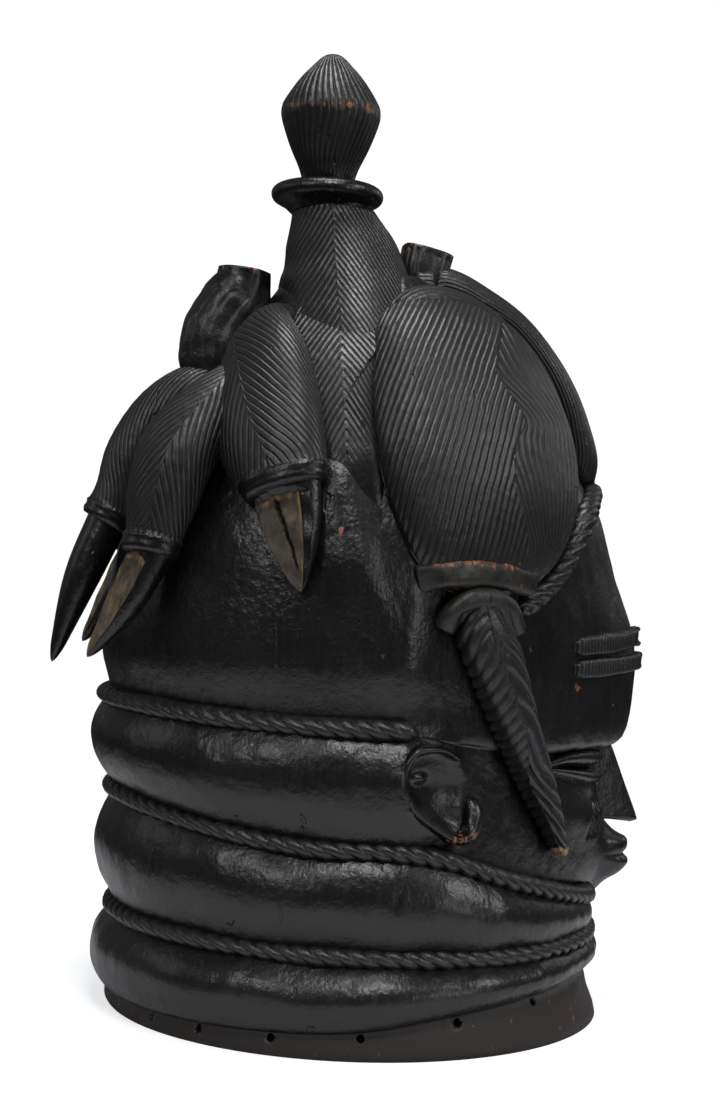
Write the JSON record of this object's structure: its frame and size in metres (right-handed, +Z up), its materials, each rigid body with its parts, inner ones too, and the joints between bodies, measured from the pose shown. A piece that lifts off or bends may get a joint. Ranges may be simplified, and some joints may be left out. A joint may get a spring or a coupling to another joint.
{
  "type": "helmet mask",
  "caption": "Carved helmet mask worn over the head: hollow dome open below, ringed neck, small low face, combed lobes with plaits and horn-like locks, tall crest with a fluted knob.",
  "frame": {"origin": "centre of the bounding box at the level of the rim's underside, on the plane of symmetry", "axes": "+Z up from the rim to the top of the crest; the face looks along -Y; +X is the wearer's left"},
  "size_m": [0.232, 0.2842, 0.44],
  "materials": {
    "wood": "near-black polished patina, worn to brown and tan on broken edges"
  },
  "bodies": {
    "root": {"helmet_mask": "wood"}
  },
  "joints": []
}
